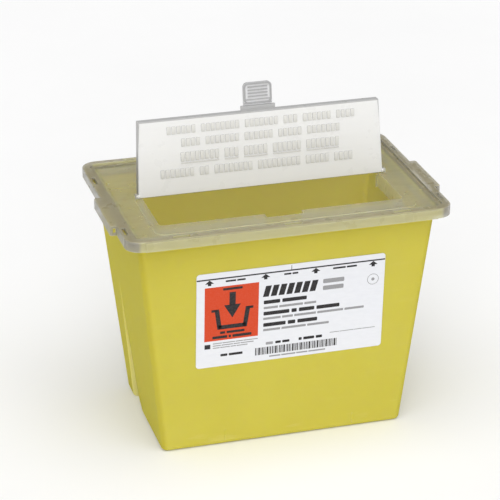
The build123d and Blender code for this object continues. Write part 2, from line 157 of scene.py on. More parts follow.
def add_ring(bm, place, centre, outer, inner, height, segments=48):
    """A flat raised ring on a plane."""
    move = Matrix.Translation((centre[0], centre[1], -ROOT_DEPTH))
    disc = bmesh.ops.create_circle(
        bm, cap_ends=True, radius=outer, segments=segments, matrix=place @ move
    )
    face = disc["verts"][0].link_faces[0]
    bmesh.ops.inset_individual(bm, faces=[face], thickness=(outer - inner) * MM)
    bmesh.ops.delete(bm, geom=[face], context="FACES_ONLY")
    band = each_once(face for vert in disc["verts"] for face in vert.link_faces)
    raised = bmesh.ops.extrude_face_region(bm, geom=band)
    top = [part for part in raised["geom"] if isinstance(part, bmesh.types.BMVert)]
    lift = place.col[2].to_3d().normalized() * (height + ROOT_DEPTH) * MM
    bmesh.ops.translate(bm, vec=lift, verts=top)


def add_disc(bm, place, centre, radius, height, segments=32):
    """A flat raised disc, or with three segments a triangle that points along +Y."""
    move = Matrix.Translation((centre[0], centre[1], (height - ROOT_DEPTH) / 2))
    bmesh.ops.create_cone(
        bm,
        cap_ends=True,
        radius1=radius,
        radius2=radius,
        depth=height + ROOT_DEPTH,
        segments=segments,
        matrix=place @ move,
    )


def add_words(bm, place, left, right, middle, height, shares, thickness):
    """A row of plain bars that stands for wording: each share is one word's part of the row."""
    gap = WORD_GAP * height
    room = right - left - gap * (len(shares) - 1)
    at = left
    for share in shares:
        length = room * share / sum(shares)
        corner = BAR_ROUNDING * min(height, length)
        add_block(bm, place, (at + length / 2, middle), (length, height), thickness, corner)
        at += length + gap


def finish_piece(bm, name, material, body, smooth=False):
    """Makes the mesh an object at the origin that rides on a body."""
    bmesh.ops.recalc_face_normals(bm, faces=bm.faces)
    mesh = bpy.data.meshes.new(name)
    bm.to_mesh(mesh)
    bm.free()
    mesh.materials.append(material)
    piece = bpy.data.objects.new(name, mesh)
    bpy.context.scene.collection.objects.link(piece)
    if smooth:
        mesh.shade_smooth()
        mesh.set_sharp_from_angle(angle=math.radians(35.0))
    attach(piece, body)
    return piece


# ---- material helpers ---------------------------------------------------------------------

def new_material(name):
    """A material with one Principled shader, and the object's own coordinates."""
    material = bpy.data.materials.new(name)
    material.use_nodes = True
    tree = material.node_tree
    tree.nodes.clear()
    shader = tree.nodes.new("ShaderNodeBsdfPrincipled")
    output = tree.nodes.new("ShaderNodeOutputMaterial")
    tree.links.new(shader.outputs["BSDF"], output.inputs["Surface"])
    coordinates = tree.nodes.new("ShaderNodeTexCoord").outputs["Object"]
    return material, tree, shader, coordinates


def noise(tree, coordinates, scale, detail, stretch=(1.0, 1.0, 1.0)):
    """A noise pattern with this many lumps per metre, stretched along an axis if asked."""
    mapping = tree.nodes.new("ShaderNodeMapping")
    mapping.inputs["Scale"].default_value = stretch
    tree.links.new(coordinates, mapping.inputs["Vector"])
    texture = tree.nodes.new("ShaderNodeTexNoise")
    texture.inputs["Scale"].default_value = scale
    texture.inputs["Detail"].default_value = detail
    tree.links.new(mapping.outputs["Vector"], texture.inputs["Vector"])
    return texture.outputs["Fac"]


def spread(tree, value, low, high, from_low=0.3, from_high=0.7):
    """Maps a pattern to a range of numbers."""
    node = tree.nodes.new("ShaderNodeMapRange")
    node.inputs["From Min"].default_value = from_low
    node.inputs["From Max"].default_value = from_high
    node.inputs["To Min"].default_value = low
    node.inputs["To Max"].default_value = high
    tree.links.new(value, node.inputs["Value"])
    return node.outputs["Result"]


def combine(tree, operation, first, second):
    """Joins two patterns, or a pattern and a number, by one operation."""
    node = tree.nodes.new("ShaderNodeMath")
    node.operation = operation
    for socket, value in zip(node.inputs, (first, second)):
        if isinstance(value, (int, float)):
            socket.default_value = value
        else:
            tree.links.new(value, socket)
    return node.outputs["Value"]


def magnitude(tree, value):
    """A pattern without its sign."""
    return combine(tree, "ABSOLUTE", value, 0.0)


def blend_colours(tree, factor, first, second):
    """One colour where the pattern is 0, and the other where it is 1."""
    node = tree.nodes.new("ShaderNodeMix")
    node.data_type = "RGBA"
    tree.links.new(factor, node.inputs["Factor"])
    sockets = [s for s in node.inputs if s.type == "RGBA"]
    for socket, value in zip(sockets, (first, second)):
        if isinstance(value, bpy.types.NodeSocket):
            tree.links.new(value, socket)
        else:
            socket.default_value = (*value, 1.0)
    return next(s for s in node.outputs if s.type == "RGBA")


def along_axis(tree, vector, axis):
    """One part of a vector: X, Y or Z."""
    parts = tree.nodes.new("ShaderNodeSeparateXYZ")
    tree.links.new(vector, parts.inputs["Vector"])
    return parts.outputs[axis]


def along_direction(tree, vector, direction):
    """How far a vector reaches along a fixed direction."""
    reach = tree.nodes.new("ShaderNodeVectorMath")
    reach.operation = "DOT_PRODUCT"
    tree.links.new(vector, reach.inputs[0])
    reach.inputs[1].default_value = direction
    return reach.outputs["Value"]


def outside_box(tree, coordinates, half_width, half_depth, fade):
    """0 inside a plan rectangle about the origin and 1 outside it, in metres."""
    sideways = magnitude(tree, along_axis(tree, coordinates, "X"))
    lengthways = magnitude(tree, along_axis(tree, coordinates, "Y"))
    past_end = combine(tree, "SUBTRACT", sideways, half_width)
    past_side = combine(tree, "SUBTRACT", lengthways, half_depth)
    return spread(tree, combine(tree, "MAXIMUM", past_end, past_side), 0.0, 1.0, -fade, fade)


def facing_ends(tree):
    """1 on walls that face along the object's X axis and 0 on the rest: where the tub's end walls get
    painted shade.
    """
    sideways = along_axis(tree, tree.nodes.new("ShaderNodeTexCoord").outputs["Normal"], "X")
    return spread(tree, magnitude(tree, sideways), 0.0, 1.0, 0.1, 0.6)


def facing_core(tree, coordinates):
    """1 on walls that face the object's own upright axis and 0 on those that face away: where the tub's
    inside walls get painted light.
    """
    normal = tree.nodes.new("ShaderNodeTexCoord").outputs["Normal"]
    level = tree.nodes.new("ShaderNodeVectorMath")
    level.operation = "MULTIPLY"
    tree.links.new(coordinates, level.inputs[0])
    level.inputs[1].default_value = (1.0, 1.0, 0.0)
    outward = tree.nodes.new("ShaderNodeVectorMath")
    outward.operation = "DOT_PRODUCT"
    tree.links.new(normal, outward.inputs[0])
    tree.links.new(level.outputs["Vector"], outward.inputs[1])
    return spread(tree, outward.outputs["Value"], 1.0, 0.0, -0.02, 0.02)


def add_bump(tree, shader, layers):
    """Stacks bump layers: (pattern, strength, depth in millimetres)."""
    last = None
    for pattern, strength, depth in layers:
        bump = tree.nodes.new("ShaderNodeBump")
        bump.inputs["Strength"].default_value = strength
        bump.inputs["Distance"].default_value = depth * MM
        tree.links.new(pattern, bump.inputs["Height"])
        if last is not None:
            tree.links.new(last, bump.inputs["Normal"])
        last = bump.outputs["Normal"]
    tree.links.new(last, shader.inputs["Normal"])


def set_finish(node_name, material):
    """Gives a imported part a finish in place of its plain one."""
    mesh = frame["nodes"][node_name].data
    mesh.materials.clear()
    mesh.materials.append(material)


# ---- materials ----------------------------------------------------------------------------

def tub_plastic(settings):
    """Yellow polypropylene, nearly matt and lit from within, with draw marks and a worn foot. Its end
    walls are painted a deeper yellow as shade, and its inside walls a paler yellow as painted light.
    """
    material, tree, shader, coordinates = new_material("tub_finish")
    clouds = spread(tree, noise(tree, coordinates, 14.0, 4.0), 0.0, 1.0)
    draw_marks = noise(tree, coordinates, 260.0, 3.0, stretch=(1.0, 1.0, 0.03))
    colour = blend_colours(tree, clouds, settings.colour, settings.deep_colour)
    # Painted shade: the end walls, which face along X, get a deeper yellow than the front and back
    colour = blend_colours(tree, facing_ends(tree), colour, settings.end_shade_colour)
    # Painted light: the inside walls get a paler yellow that stands in for the light inside the tub
    colour = blend_colours(tree, facing_core(tree, coordinates), colour, settings.inside_light_colour)
    rubbing = noise(tree, coordinates, 95.0, 6.0, stretch=(0.25, 0.25, 1.6))
    scuffs = spread(tree, rubbing, 0.0, 1.0, 0.60, 0.72)
    near_foot = spread(tree, along_axis(tree, coordinates, "Z"), 1.0, 0.12, 0.0, 0.035)
    worn = combine(tree, "MULTIPLY", combine(tree, "MULTIPLY", scuffs, near_foot), settings.wear)
    colour = blend_colours(tree, worn, colour, settings.scuff_colour)
    tree.links.new(colour, shader.inputs["Base Color"])
    smears = noise(tree, coordinates, 60.0, 5.0)
    dullness = spread(tree, smears, settings.roughness - 0.05, settings.roughness + 0.07)
    dullness = combine(tree, "ADD", dullness, combine(tree, "MULTIPLY", worn, 0.2))
    tree.links.new(dullness, shader.inputs["Roughness"])
    shader.inputs["IOR"].default_value = PLASTIC_IOR
    shader.inputs["Specular IOR Level"].default_value = settings.sheen
    shader.inputs["Subsurface Weight"].default_value = settings.glow
    shader.inputs["Subsurface Radius"].default_value = (1.0, 0.85, 0.2)
    shader.inputs["Subsurface Scale"].default_value = settings.glow_depth
    grain = noise(tree, coordinates, 1500.0, 2.0)
    peel = noise(tree, coordinates, 130.0, 2.0)
    add_bump(tree, shader, [(peel, 0.25, 0.12), (draw_marks, 0.2, 0.04), (grain, 0.2, 0.03)])
    return material


def edge_share(tree, face_normal):
    """1 on the narrow edges of a moulded sheet and 0 on its two faces, from its own normals."""
    normal = tree.nodes.new("ShaderNodeTexCoord").outputs["Normal"]
    facing = magnitude(tree, along_direction(tree, normal, face_normal))
    return spread(tree, facing, 1.0, 0.0, 0.35, 0.85)


def clear_plastic(name, settings, colour, solidity, glow, face_normal, edge_colour, border=None):
    """Natural polypropylene: milky, with flow clouds, a frosted face and greyer edges. With a border, the
    upright faces at the lid's ends get painted shade and the steps inside the mouth a painted highlight.
    """
    material, tree, shader, coordinates = new_material(name)
    flow = noise(tree, coordinates, 22.0, 5.0, stretch=(0.5, 1.0, 1.0))
    streaks = noise(tree, coordinates, 240.0, 3.0, stretch=(0.06, 1.0, 1.0))
    broad = combine(tree, "MULTIPLY", flow, 0.65)
    fine = combine(tree, "MULTIPLY", streaks, 0.35)
    mixed = combine(tree, "ADD", broad, fine)
    haze = spread(tree, mixed, 0.0, 1.0, HAZE_LOW, HAZE_HIGH)
    darker = tuple(channel * settings.cloud for channel in colour)
    body = blend_colours(tree, haze, colour, darker)
    edge = edge_share(tree, face_normal)
    milk = spread(tree, mixed, solidity - 0.03, solidity + 0.03, HAZE_LOW, HAZE_HIGH)
    if border is not None:
        rim = outside_box(tree, coordinates, *border, BORDER_FADE)
        body = blend_colours(tree, rim, body, settings.border_colour)
        milk = combine(tree, "ADD", milk, combine(tree, "MULTIPLY", rim, settings.border_solidity))
        # Painted shade: upright faces at the lid's two ends are painted a darker grey
        ends = outside_box(tree, coordinates, border[0], PAST_THE_OBJECT, BORDER_FADE)
        edge_colour = blend_colours(tree, ends, edge_colour, settings.end_shade_colour)
        # Painted highlight: upright faces inside the mouth, the steps round the deck and the opening, are
        # painted pale
        edge_colour = blend_colours(tree, rim, settings.step_highlight_colour, edge_colour)
    tree.links.new(blend_colours(tree, edge, body, edge_colour), shader.inputs["Base Color"])
    smears = noise(tree, coordinates, 75.0, 5.0)
    frost = spread(tree, smears, settings.roughness - 0.05, settings.roughness + 0.09)
    tree.links.new(frost, shader.inputs["Roughness"])
    shader.inputs["IOR"].default_value = PLASTIC_IOR
    tree.links.new(milk, shader.inputs["Alpha"])
    shader.inputs["Subsurface Weight"].default_value = glow
    shader.inputs["Subsurface Radius"].default_value = (1.0, 0.97, 0.85)
    shader.inputs["Subsurface Scale"].default_value = settings.glow_depth
    grain = noise(tree, coordinates, 1300.0, 2.0)
    ripple = noise(tree, coordinates, 85.0, 2.0)
    add_bump(tree, shader, [(ripple, 0.2, 0.15), (grain, 0.18, 0.03)])
    return material


def darken(material, share, colour):
    """Blends a colour over a finished material's own colour where the pattern is 1."""
    tree = material.node_tree
    shader = next(node for node in tree.nodes if node.type == "BSDF_PRINCIPLED")
    socket = shader.inputs["Base Color"]
    own = socket.links[0].from_socket
    tree.links.new(blend_colours(tree, share, own, colour), socket)


def turned_edge(material, node, place, colour):
    """The flap's turned edges show through its face as a greyer band along three sides."""
    tree = material.node_tree
    coordinates = tree.nodes.new("ShaderNodeTexCoord").outputs["Object"]
    up = place.col[1].to_3d().normalized()
    out = place.col[2].to_3d().normalized()
    face_out = place.translation.dot(out)
    points = [v.co for v in node.data.vertices if v.co.dot(out) > face_out - 0.1 * MM]
    low, top = (limit(point.dot(up) for point in points) for limit in (min, max))
    half_low, half_top = (
        max(point.x for point in points if abs(point.dot(up) - level) < 1.0 * MM) for level in (low, top)
    )
    taper = (half_low - half_top) / (top - low)
    leaning = along_direction(tree, coordinates, (0.0, *(taper * up)[1:]))
    sideways = combine(tree, "ADD", magnitude(tree, along_axis(tree, coordinates, "X")), leaning)
    height = along_direction(tree, coordinates, tuple(up))
    past_side = combine(tree, "SUBTRACT", sideways, half_top + taper * top - EDGE_BAND)
    past_top = combine(tree, "SUBTRACT", height, top - EDGE_BAND)
    share = spread(tree, combine(tree, "MAXIMUM", past_side, past_top), 0.0, 1.0, 0.0, EDGE_FADE)
    darken(material, share, colour)


def thick_parts(material, node, place, colour):
    """Ribs and borders that stand out of a sheet are greyer, as their plastic is thicker."""
    tree = material.node_tree
    coordinates = tree.nodes.new("ShaderNodeTexCoord").outputs["Object"]
    out = place.col[2].to_3d().normalized()
    top = max(v.co.dot(out) for v in node.data.vertices)
    reach = along_direction(tree, coordinates, tuple(out))
    share = spread(tree, reach, 0.0, 1.0, top - 0.3 * MM, top - 0.1 * MM)
    darken(material, share, colour)


def film(settings):
    """White printed film: a satin face with faint fibres, soft ripples and a fine tooth."""
    material, tree, shader, coordinates = new_material("label_finish")
    fibres = spread(tree, noise(tree, coordinates, 420.0, 4.0, stretch=(0.3, 1.0, 1.0)), 0.0, 1.0)
    white = blend_colours(tree, fibres, settings.film, settings.film_shade)
    tree.links.new(white, shader.inputs["Base Color"])
    sheen = spread(tree, noise(tree, coordinates, 40.0, 4.0), 0.34, 0.48)
    tree.links.new(sheen, shader.inputs["Roughness"])
    shader.inputs["Coat Weight"].default_value = 0.12
    shader.inputs["Coat Roughness"].default_value = 0.22
    ripple = noise(tree, coordinates, 32.0, 2.0)
    tooth = noise(tree, coordinates, 1800.0, 2.0)
    add_bump(tree, shader, [(ripple, 0.2, 0.2), (tooth, 0.12, 0.02)])
    return material


def ink(name, colour, patchiness):
    """Printed ink: a little patchy where it went on thin, with a dull sheen."""
    material, tree, shader, coordinates = new_material(name)
    patches = spread(tree, noise(tree, coordinates, 700.0, 5.0), 0.0, patchiness, 0.4, 0.8)
    paler = tuple(channel + (1.0 - channel) * 0.35 for channel in colour)
    tree.links.new(blend_colours(tree, patches, colour, paler), shader.inputs["Base Color"])
    sheen = spread(tree, noise(tree, coordinates, 160.0, 4.0), 0.36, 0.56)
    tree.links.new(sheen, shader.inputs["Roughness"])
    shader.inputs["Specular IOR Level"].default_value = 0.25
    add_bump(tree, shader, [(noise(tree, coordinates, 1600.0, 2.0), 0.15, 0.02)])
    return material


def floor_paper(settings):
    """Matt pale studio paper."""
    material, tree, shader, coordinates = new_material("floor_paper")
    mottle = spread(tree, noise(tree, coordinates, 3.0, 4.0), 0.0, 1.0)
    pale = blend_colours(tree, mottle, settings.floor_colour, settings.floor_shade)
    tree.links.new(pale, shader.inputs["Base Color"])
    dullness = spread(tree, noise(tree, coordinates, 30.0, 3.0), 0.75, 0.9)
    tree.links.new(dullness, shader.inputs["Roughness"])
    shader.inputs["Specular IOR Level"].default_value = 0.15
    add_bump(tree, shader, [(noise(tree, coordinates, 500.0, 2.0), 0.05, 0.05)])
    return material


# ---- settings -----------------------------------------------------------------------------

def colour_property(name, description, default):
    """A colour that a user may change."""
    return FloatVectorProperty(
        name=name, description=description, default=default, subtype="COLOR", size=3, min=0.0, max=1.0
    )


def length_property(name, description, default):
    """A length in millimetres that a user may change."""
    full = description + ", in millimetres"
    return FloatProperty(name=name, description=full, default=default, min=0.0)


def share_property(name, description, default):
    """A share from 0 to 1 that a user may change."""
    return FloatProperty(
        name=name, description=description, default=default, min=0.0, max=1.0, subtype="FACTOR"
    )


class SharpsTubSettings(bpy.types.PropertyGroup):
    colour: colour_property("Colour", "Yellow of the tub", (0.585, 0.525, 0.092))
    deep_colour: colour_property("Deep colour", "Yellow of denser clouds", (0.56, 0.50, 0.082))
    # Painted shade: the deeper yellow of the end walls
    end_shade_colour: colour_property("End colour", "Yellow of the end walls", (0.50, 0.44, 0.062))
    # Painted light: the paler yellow of the inside walls
    inside_light_colour: colour_property("Core colour", "Yellow of the inside walls", (0.75, 0.695, 0.27))
    scuff_colour: colour_property("Scuff colour", "Pale rubbed plastic", (0.70, 0.63, 0.24))
    roughness: share_property("Roughness", "Roughness of the tub's face", 0.74)
    sheen: share_property("Sheen", "Strength of the reflections", 0.01)
    wear: share_property("Wear", "How much the foot is rubbed", 0.35)
    glow: share_property("Glow", "Share of light that enters the plastic", 0.8)
    glow_depth: FloatProperty(
        name="Glow depth", description="How far light travels inside", default=0.005, unit="LENGTH"
    )


class SharpsLidSettings(bpy.types.PropertyGroup):
    colour: colour_property("Colour", "Natural plastic of the lid", (0.455, 0.448, 0.385))
    flap_colour: colour_property("Flap colour", "Natural plastic of the flap", (0.955, 0.952, 0.94))
    cloud: share_property("Cloud", "Brightness of the denser flow clouds", 0.955)
    edge_colour: colour_property("Edge colour", "The lid's upright faces", (0.58, 0.555, 0.335))
    flap_edge_colour: colour_property("Flap edge colour", "Flap's and tab's edges", (0.36, 0.36, 0.355))
    # Painted shade: the darker grey of the upright faces at the lid's ends
    end_shade_colour: colour_property("End colour", "Upright faces at the lid's two ends", (0.36, 0.345, 0.30))
    # Painted highlight: the pale colour of the steps round the deck and the opening
    step_highlight_colour: colour_property("Step colour", "Steps round deck and opening", (0.86, 0.84, 0.70))
    band_colour: colour_property("Band colour", "Turned edges seen through the flap", (0.50, 0.50, 0.495))
    tab_colour: colour_property("Tab colour", "Natural plastic of the lock tab", (0.86, 0.86, 0.87))
    rib_colour: colour_property("Rib colour", "Border and ribs of the lock tab", (0.42, 0.42, 0.425))
    border_colour: colour_property("Border colour", "Lid past the tub's mouth", (0.37, 0.335, 0.225))
    # Painted shade: the bars are given a greyer colour than the flap
    bar_shade_colour: colour_property("Bar colour", "Raised bars on the flap", (0.84, 0.83, 0.79))
    solidity: share_property("Solidity", "Share of light that each face of the lid stops", 0.24)
    border_solidity: share_property("Border solidity", "What the border adds to it", 0.40)
    flap_solidity: share_property("Flap solidity", "The same for the flap and tab", 0.88)
    roughness: share_property("Roughness", "Frosting of the lid", 0.30)
    glow: share_property("Glow", "Share of light that scatters inside", 1.0)
    flap_glow: share_property("Flap glow", "The same for the flap and tab", 0.08)
    glow_depth: FloatProperty(
        name="Glow depth", description="How far light travels inside", default=0.006, unit="LENGTH"
    )


class SharpsMarkSettings(bpy.types.PropertyGroup):
    height: length_property("Height", "How far the bars stand out of the flap", 0.5)
    rib_width: length_property("Rib width", "Width of one rib of a bar", 3.5)
    rib_pitch: length_property("Rib pitch", "From one rib to the next", 4.4)
    word_gap: IntProperty(
        name="Word gap", description="Ribs left out between two words", default=1, min=1
    )
    underline: length_property("Underline", "Thickness of the line under the third row", 1.0)


class SharpsLabelSettings(bpy.types.PropertyGroup):
    film: colour_property("Film", "White of the label", (0.785, 0.795, 0.835))
    film_shade: colour_property("Film shade", "Its faint shade between fibres", (0.755, 0.765, 0.805))
    black: colour_property("Black", "Black ink", (0.018, 0.016, 0.018))
    grey: colour_property("Grey", "Grey ink of the small lines", (0.30, 0.30, 0.31))
    signal: colour_property("Signal", "Orange-red of the panel", (0.63, 0.060, 0.014))
    ink_height: length_property("Ink height", "Thickness of the print", 0.04)


class SharpsStageSettings(bpy.types.PropertyGroup):
    floor_colour: colour_property("Floor", "Pale floor", (0.93, 0.93, 0.93))
    floor_shade: colour_property("Floor shade", "Its faint mottle", (0.91, 0.91, 0.91))
    floor_size: FloatProperty(
        name="Floor size", description="Side of the floor", default=30.0, unit="LENGTH"
    )
    azimuth: FloatProperty(
        name="Azimuth", description="Camera's angle round the object", default=math.radians(-15.94),
        subtype="ANGLE", unit="ROTATION",
    )
    elevation: FloatProperty(
        name="Elevation", description="Camera's angle above level", default=math.radians(23.55),
        subtype="ANGLE", unit="ROTATION",
    )
    roll: FloatProperty(
        name="Roll", description="Turn of the camera about its own line of sight",
        default=math.radians(-0.19), subtype="ANGLE", unit="ROTATION",
    )
    distance: FloatProperty(
        name="Distance", description="From the aim point to the camera", default=1.9216, unit="LENGTH"
    )
    aim_right: FloatProperty(
        name="Aim right", description="Aim point, to the right of the tub's middle", default=-0.01109,
        unit="LENGTH",
    )
    aim_height: FloatProperty(
        name="Aim height", description="Aim point, above the floor", default=0.15418, unit="LENGTH"
    )
    lens: FloatProperty(name="Lens", description="Focal length", default=154.98, unit="CAMERA")
    sky: FloatProperty(
        name="Sky", description="Strength of the plain surroundings", default=0.35, min=0.0
    )
    top_strength: FloatProperty(name="Overhead light", description="Its strength", default=2.0, min=0.0)
    front_strength: FloatProperty(name="Front light", description="Its strength", default=0.92, min=0.0)


# ---- operators ----------------------------------------------------------------------------

class SHARPS_OT_finish_tub(bpy.types.Operator):
    """Give the tub its yellow plastic"""

    bl_idname = "sharps.finish_tub"
    bl_label = "Finish Tub"

    def execute(self, context):
        set_finish("tub", tub_plastic(context.scene.sharps_tub))
        return {"FINISHED"}


class SHARPS_OT_finish_lid(bpy.types.Operator):
    """Give the lid, the flap and the lock tab their milky see-through plastic"""

    bl_idname = "sharps.finish_lid"
    bl_label = "Finish Lid and Flap"

    def execute(self, context):
        lid = context.scene.sharps_lid
        level = (0.0, 0.0, 1.0)
        frame_finish = clear_plastic(
            "lid_finish", lid, lid.colour, lid.solidity, lid.glow, level, lid.edge_colour, MOUTH
        )
        set_finish("lid_frame", frame_finish)
        place = flap_face()
        face = tuple(place.col[2].to_3d().normalized())
        # The bars' greyer colour is painted shade
        colours = {"flap": lid.flap_colour, "lock_tab": lid.tab_colour, "bar": lid.bar_shade_colour}
        edge = lid.flap_edge_colour
        finishes = {
            piece: clear_plastic(
                piece + "_finish", lid, colour, lid.flap_solidity, lid.flap_glow, face, edge
            )
            for piece, colour in colours.items()
        }
        turned_edge(finishes["flap"], frame["nodes"]["flap"], place, lid.band_colour)
        thick_parts(finishes["lock_tab"], frame["nodes"]["lock_tab"], place, lid.rib_colour)
        for piece in ("flap", "lock_tab"):
            set_finish(piece, finishes[piece])
        return {"FINISHED"}


# Rows of raised bars on the flap: height up the flap, left end, bar height, and how many ribs
# each word has
FLAP_ROWS = (
    (56.2, -82.5, 7.0, (6, 8, 7, 3, 6, 4)),
    (44.6, -70.0, 7.0, (4, 7, 6, 5, 7)),
    (31.8, -71.0, 8.2, (8, 3, 5, 6, 7)),
    (17.8, -89.5, 7.6, (7, 2, 8, 9, 5, 4)),
)
UNDERLINED_ROW = 2

# Rounding and softening of a rib and of the line under a row, and the gap above that line
RIB_EDGES = (0.6, 0.4)
LINE_EDGES = (0.3, 0.15)
LINE_GAP = 1.4


class SHARPS_OT_raised_bars(bpy.types.Operator):
    """Raise four rows of plain ribbed bars on the flap's face"""

    bl_idname = "sharps.raised_bars"
    bl_label = "Raise Flap Bars"

    def execute(self, context):
        marks = context.scene.sharps_marks
        place = flap_face()
        bm = bmesh.new()
        for row, (up, left, tall, words) in enumerate(FLAP_ROWS):
            at = left
            for ribs in words:
                for rib in range(ribs):
                    centre = (at + rib * marks.rib_pitch, up)
                    add_block(bm, place, centre, (marks.rib_width, tall), marks.height, *RIB_EDGES)
                if row == UNDERLINED_ROW:
                    length = (ribs - 1) * marks.rib_pitch + marks.rib_width
                    middle = at + (ribs - 1) * marks.rib_pitch / 2
                    centre = (middle, up - tall / 2 - LINE_GAP)
                    add_block(bm, place, centre, (length, marks.underline), marks.height, *LINE_EDGES)
                at += (ribs + marks.word_gap) * marks.rib_pitch
        finish = bpy.data.materials["bar_finish"]
        finish_piece(bm, "flap_raised_bars", finish, "flap", smooth=True)
        return {"FINISHED"}


class SHARPS_OT_label_film(bpy.types.Operator):
    """Give the label its printed film and make its inks"""

    bl_idname = "sharps.label_film"
    bl_label = "Finish Label Film"

    def execute(self, context):
        label = context.scene.sharps_label
        set_finish("front_label", film(label))
        ink("black_ink", label.black, 0.10)
        ink("grey_ink", label.grey, 0.2)
        ink("signal_ink", label.signal, 0.06)
        return {"FINISHED"}


def label_piece(name, ink_name, draw):
    """One printed piece of the label, drawn on its face by a function."""
    label = bpy.context.scene.sharps_label
    bm = bmesh.new()
    draw(bm, label_face(), label.ink_height)
    finish_piece(bm, name, bpy.data.materials[ink_name], "container")


# What is printed on the label stands in for wording, marks and codes, and says nothing. Places
# are in millimetres from the label's middle. A row of bars is given by its left end, right
# end, height up the label, bar height, and the share that each word takes of it.
def add_rows(bm, place, rows, height):
    """Rows of plain bars."""
    for left, right, up, tall, shares in rows:
        add_words(bm, place, left, right, up, tall, shares, height)


PANEL_MIDDLE = (-53.3, 6.1)
PANEL_SIZE = (48.2, 53.0)
PANEL_ROWS = (
    (-61.2, -43.8, 29.6, 2.2, (1,)),
    (-63.4, -41.4, -12.9, 2.3, (2, 7)),
    (-70.2, -35.1, -17.2, 2.6, (7, 1, 9)),
)

# The bin in the picture: its middle line, the height of its foot, its walls and its lips
BIN_MIDDLE = -52.6
BIN_FOOT = -9.5
BIN_WALL = 4.0
BIN_TALL = 20.0
BIN_LEAN = 0.14
BIN_HALF = 12.6
BIN_FLOOR = 24.4
LIP_OUT = 16.2
LIP_SIZE = (5.0, 2.4)

# The arrow over it: the middle of its shaft and the middle of its head
SHAFT_UP = 19.6
SHAFT_SIZE = (5.6, 13.0)
HEAD_UP = 9.6
HEAD_RADIUS = 8.6


class SHARPS_OT_label_signal(bpy.types.Operator):
    """Print the orange-red panel with a plain picture of a bin and an arrow"""

    bl_idname = "sharps.label_signal"
    bl_label = "Print Signal Panel"

    def execute(self, context):
        label_piece("label_signal_panel", "signal_ink", self.panel)
        label_piece("label_bin_picture", "black_ink", self.picture)
        return {"FINISHED"}

    def panel(self, bm, place, height):
        add_block(bm, place, PANEL_MIDDLE, PANEL_SIZE, height)

    def picture(self, bm, place, height):
        top = 2 * height
        # a bin with leaning sides, open at the top
        for side in (-1, 1):
            wall = (BIN_MIDDLE + side * BIN_HALF, BIN_FOOT + BIN_TALL / 2)
            add_block(bm, place, wall, (BIN_WALL, BIN_TALL), top, lean=side * BIN_LEAN)
        add_block(bm, place, (BIN_MIDDLE, BIN_FOOT + BIN_WALL / 2), (BIN_FLOOR, BIN_WALL), top)
        for side in (-1, 1):
            lip = (BIN_MIDDLE + side * LIP_OUT, BIN_FOOT + BIN_TALL - LIP_SIZE[1] / 2)
            add_block(bm, place, lip, LIP_SIZE, top)
        # an arrow that points down into it
        add_block(bm, place, (BIN_MIDDLE, SHAFT_UP), SHAFT_SIZE, top)
        head = Matrix.Translation((BIN_MIDDLE, HEAD_UP, 0.0)) @ Matrix.Rotation(math.pi, 4, "Z")
        add_disc(bm, place @ head, (0.0, 0.0), HEAD_RADIUS, top, segments=3)
        # bars above and below it
        add_rows(bm, place, PANEL_ROWS, top)


# The fill line, the tick above it, and the arrows under it: each one's middle along the label,
# how far below the line its head and its tail are, and their sizes
FILL_UP = 40.5
FILL_SIZE = (169.0, 1.3)
TICK_MIDDLE = (-0.3, 2.6)
TICK_SIZE = (0.5, 4.2)
FILL_ARROWS = (-73.2, -23.4, 21.6, 73.8)
ARROW_HEAD_BELOW = 3.0
ARROW_HEAD_RADIUS = 2.9
ARROW_HEAD_STRETCH = (1.6, 0.8, 1.0, 1.0)
ARROW_TAIL_BELOW = 5.0
ARROW_TAIL_SIZE = (3.0, 2.0)
FILL_ROWS = tuple(
    (left, right, FILL_UP - 3.2, 1.7, (5, 4))
    for left, right in ((-59.0, -41.3), (-6.9, 5.7), (37.2, 58.8))
)


class SHARPS_OT_label_fill_line(bpy.types.Operator):
    """Print the fill line with its arrows and bars"""

    bl_idname = "sharps.label_fill_line"
    bl_label = "Print Fill Line"

    def execute(self, context):
        label_piece("label_fill_line", "black_ink", self.fill_line)
        return {"FINISHED"}

    def fill_line(self, bm, place, height):
        add_block(bm, place, (0.0, FILL_UP), FILL_SIZE, height)
        add_block(bm, place, (TICK_MIDDLE[0], FILL_UP + TICK_MIDDLE[1]), TICK_SIZE, height)
        wide = Matrix.Diagonal(ARROW_HEAD_STRETCH)
        for at in FILL_ARROWS:
            head = Matrix.Translation((at, FILL_UP - ARROW_HEAD_BELOW, 0.0)) @ wide
            add_disc(bm, place @ head, (0.0, 0.0), ARROW_HEAD_RADIUS, height, segments=3)
            add_block(bm, place, (at, FILL_UP - ARROW_TAIL_BELOW), ARROW_TAIL_SIZE, height)
        add_rows(bm, place, FILL_ROWS, height)


# The heading, a block of slanted bars: the first one's middle, their size, pitch and lean
HEADING_START = (-21.6, 22.6)
HEADING_BARS = 7
HEADING_PITCH = 7.0
HEADING_SIZE = (5.2, 10.6)
HEADING_LEAN = 0.25

# The plain square in the lower left
SQUARE_MIDDLE = (-74.5, -25.7)
SQUARE_SIZE = (5.2, 4.4)

